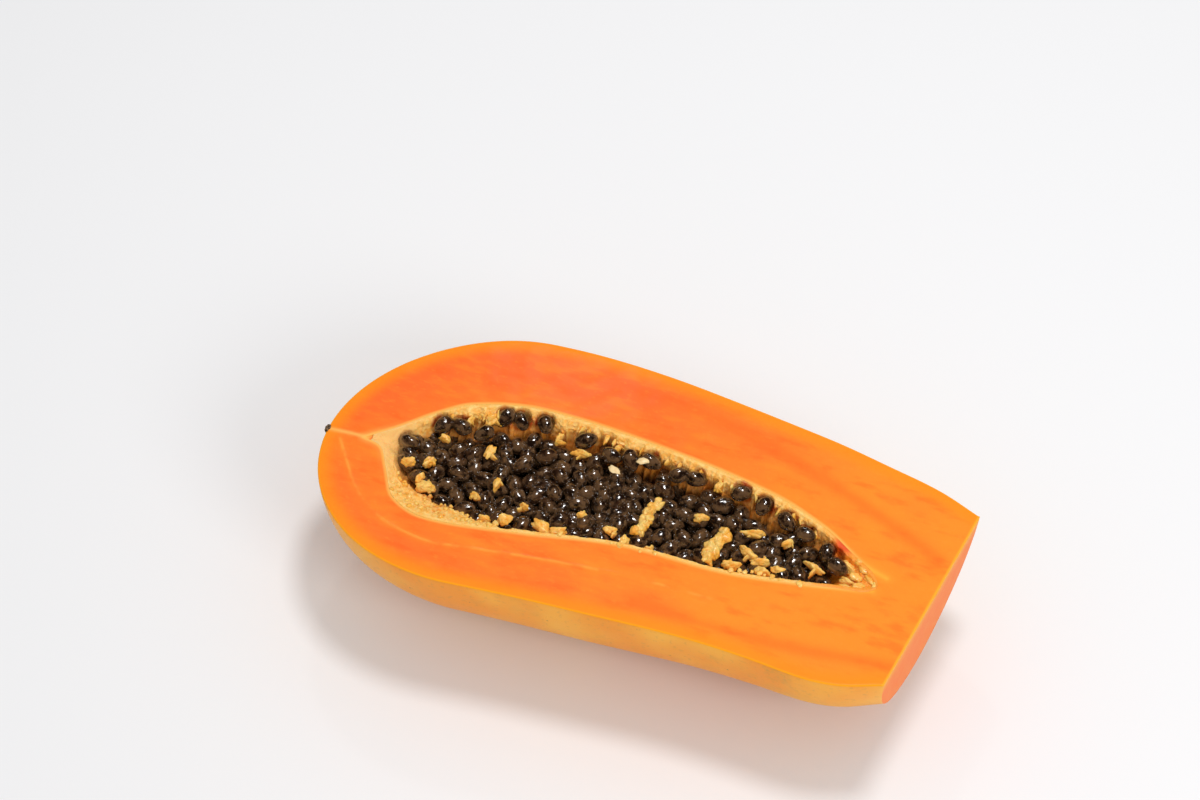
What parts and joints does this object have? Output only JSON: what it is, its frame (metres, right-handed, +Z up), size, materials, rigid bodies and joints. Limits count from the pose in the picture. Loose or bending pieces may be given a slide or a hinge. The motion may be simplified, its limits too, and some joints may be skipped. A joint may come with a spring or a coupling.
{
  "type": "halved papaya",
  "caption": "Lengthwise papaya half lying on its back, with orange flesh, thin yellow skin, a lined hollow full of dark seeds and a trimmed stem end.",
  "frame": {"origin": "on the surface that the fruit lies on, under the middle of its bounding box", "axes": "+X from the blossom tip to the trimmed stem end, +Z up out of the cut face, +Y towards the far edge of the picture"},
  "size_m": [0.2171, 0.1069, 0.0503],
  "materials": {
    "flesh": "moist cut flesh, satin, with a thin waxy yellow skin outside",
    "lining": "pale spongy pulp",
    "seeds": "wet and glossy"
  },
  "bodies": {
    "root": {"flesh": "flesh", "lining": "lining", "seeds": "seeds"}
  },
  "joints": []
}
